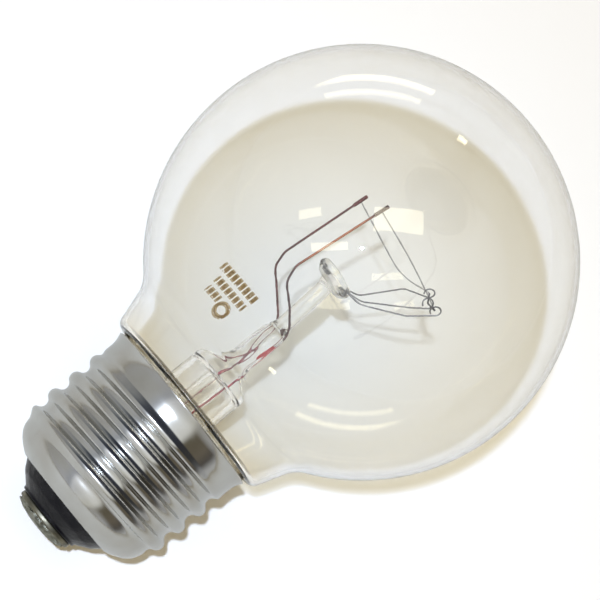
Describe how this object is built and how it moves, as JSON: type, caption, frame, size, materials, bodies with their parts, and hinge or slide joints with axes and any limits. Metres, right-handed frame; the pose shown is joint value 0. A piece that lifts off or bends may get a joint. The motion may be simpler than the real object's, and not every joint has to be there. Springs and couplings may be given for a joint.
{
  "type": "globe bulb",
  "caption": "Clear globe filament bulb with a stem, leads and support wires inside and a rolled medium screw cap.",
  "frame": {"origin": "middle of the flat on the centre contact's solder, at the foot of the cap", "axes": "+Z along the bulb's axis from the cap to the globe, -Y towards the viewer in front, +X to that viewer's right"},
  "size_m": [0.0602, 0.0602, 0.0874],
  "materials": {
    "clear_glass": "clear, polished",
    "stem_glass": "clear, fire polished",
    "shell_metal": "rolled, half bright",
    "black_glass": "glossy black",
    "contact_brass": "tarnished",
    "solder": "dull, cast",
    "cement": "matt, baked",
    "lead_metal": "heat-tinted copper plating",
    "seal_metal": "red borated copper sheath",
    "copper_wire": "drawn copper",
    "support_metal": "drawn molybdenum",
    "filament_metal": "coiled tungsten"
  },
  "bodies": {
    "root": {"glass_envelope": "clear_glass", "stem_flare": "stem_glass", "exhaust_tube": "stem_glass", "support_rod": "stem_glass", "screw_shell": "shell_metal", "cap_insulator": "black_glass", "centre_contact": "contact_brass", "centre_solder": "solder", "side_solder": "solder", "basing_cement": "cement", "inner_lead_1": "lead_metal", "inner_lead_2": "lead_metal", "seal_wire_1": "seal_metal", "seal_wire_2": "seal_metal", "outer_lead_centre": "copper_wire", "outer_lead_side": "copper_wire", "support_wire_1": "support_metal", "support_wire_2": "support_metal", "support_wire_3": "support_metal", "filament": "filament_metal"}
  },
  "joints": []
}
